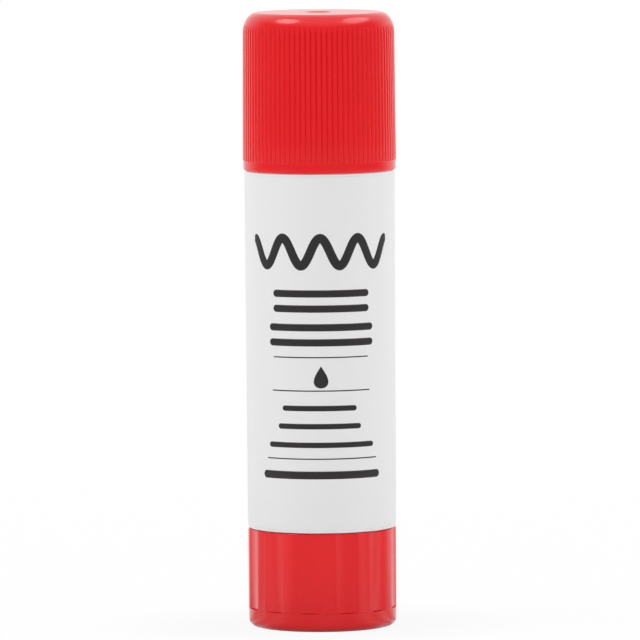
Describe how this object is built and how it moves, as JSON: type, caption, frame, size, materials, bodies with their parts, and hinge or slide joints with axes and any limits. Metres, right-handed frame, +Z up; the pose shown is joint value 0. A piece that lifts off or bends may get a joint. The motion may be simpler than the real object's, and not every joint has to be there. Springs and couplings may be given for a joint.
{
  "type": "glue stick",
  "caption": "Twist-up glue stick: fluted knob, labelled barrel and ribbed push-on cap, with a screw spindle that raises the glue in its carrier cup.",
  "frame": {"origin": "centre of the knob's foot, on the surface the stick stands on", "axes": "+Z up along the stick from knob to cap, -Y towards the viewer of the picture, +X to the viewer's right"},
  "size_m": [0.0256, 0.0256, 0.1023],
  "materials": {
    "barrel_plastic": "moulded white polypropylene, glossy",
    "label_film": "pale satin film label with plain dark bars",
    "knob_plastic": "moulded red polypropylene, fluted",
    "spindle_plastic": "natural polypropylene",
    "carrier_plastic": "natural polypropylene",
    "glue_solid": "waxy off-white glue",
    "cap_plastic": "moulded red polypropylene, finely ribbed"
  },
  "bodies": {
    "barrel": {"barrel": "barrel_plastic", "label": "label_film"},
    "knob": {"knob": "knob_plastic", "spindle": "spindle_plastic"},
    "carrier": {"carrier": "carrier_plastic", "glue": "glue_solid"},
    "cap": {"cap": "cap_plastic"}
  },
  "joints": [
    {"name": "knob_turn", "type": "hinge", "parent": "barrel", "child": "knob", "pos_m": [0, 0, 0.0165], "axis": [0, 0, 1], "range_deg": [0, 3600]},
    {"name": "carrier_rise", "type": "slide", "parent": "barrel", "child": "carrier", "axis": [0, 0, 1], "range_m": [0, 0.06]},
    {"name": "cap_lift", "type": "slide", "parent": "carrier", "child": "cap", "axis": [0, 0, 1], "range_m": [0, 0.04]}
  ],
  "couplings": [
    {"joint": "knob_turn", "follows": "carrier_rise", "rad_per_m": 1047.2}
  ]
}
